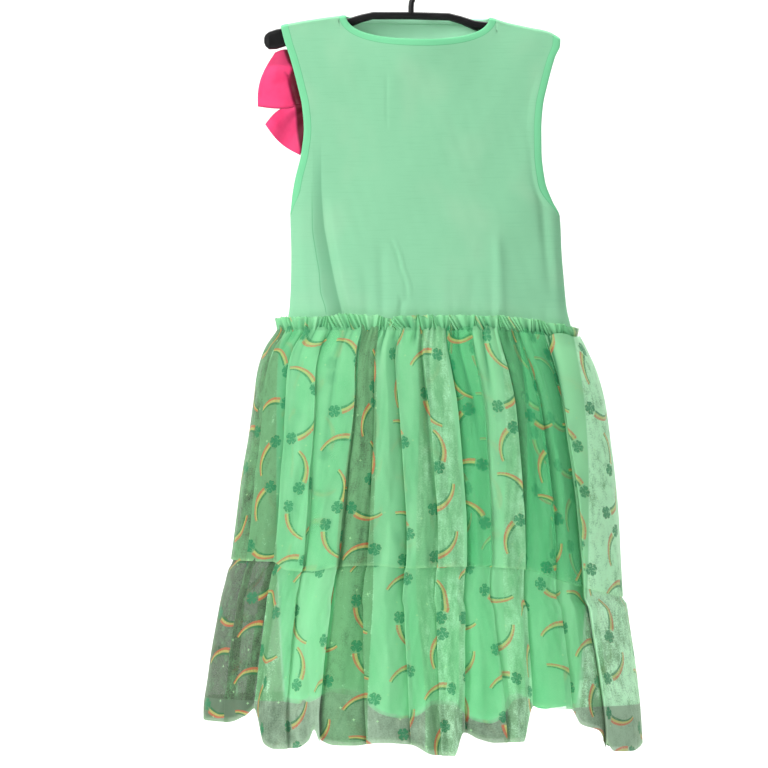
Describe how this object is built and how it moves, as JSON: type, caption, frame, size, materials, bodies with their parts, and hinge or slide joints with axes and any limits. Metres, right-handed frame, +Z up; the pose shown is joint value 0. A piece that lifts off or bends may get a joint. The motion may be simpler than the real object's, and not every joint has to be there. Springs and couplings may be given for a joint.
{
  "type": "girl's sleeveless jersey dress with a two-tier tulle skirt, on a moulded hanger",
  "caption": "Sleeveless jersey tank dress with a gathered two-tier tulle skirt over a lining and a shoulder bow, hung on a plain hanger.",
  "frame": {"origin": "inside top of the hanger's hook, where a rail carries it", "axes": "+Z up, the dress's front faces -Y, +X towards the wearer's left shoulder, which has the bow"},
  "size_m": [0.4837, 0.2136, 0.888],
  "materials": {
    "jersey": "mint green cotton jersey, matte",
    "tulle": "sheer printed tulle, soft sheen",
    "lining": "opaque green satin-back lining, soft sheen",
    "ribbon": "hot pink woven ribbon, satin",
    "hanger_plastic": "black moulded plastic"
  },
  "bodies": {
    "root": {"hanger": "hanger_plastic", "bodice_back": "jersey", "bodice_front": "jersey", "neck_binding_back": "jersey", "neck_binding_front": "jersey", "armhole_binding_left": "jersey", "armhole_binding_right": "jersey", "waist_heading_back": "tulle", "waist_heading_front": "tulle", "upper_tier_back": "tulle", "upper_tier_front": "tulle", "lower_tier_back": "tulle", "lower_tier_front": "tulle", "lining_back": "lining", "lining_front": "lining", "bow_loop_outer": "ribbon", "bow_loop_inner": "ribbon", "bow_tail_outer": "ribbon", "bow_tail_inner": "ribbon", "bow_knot": "ribbon"}
  },
  "joints": []
}
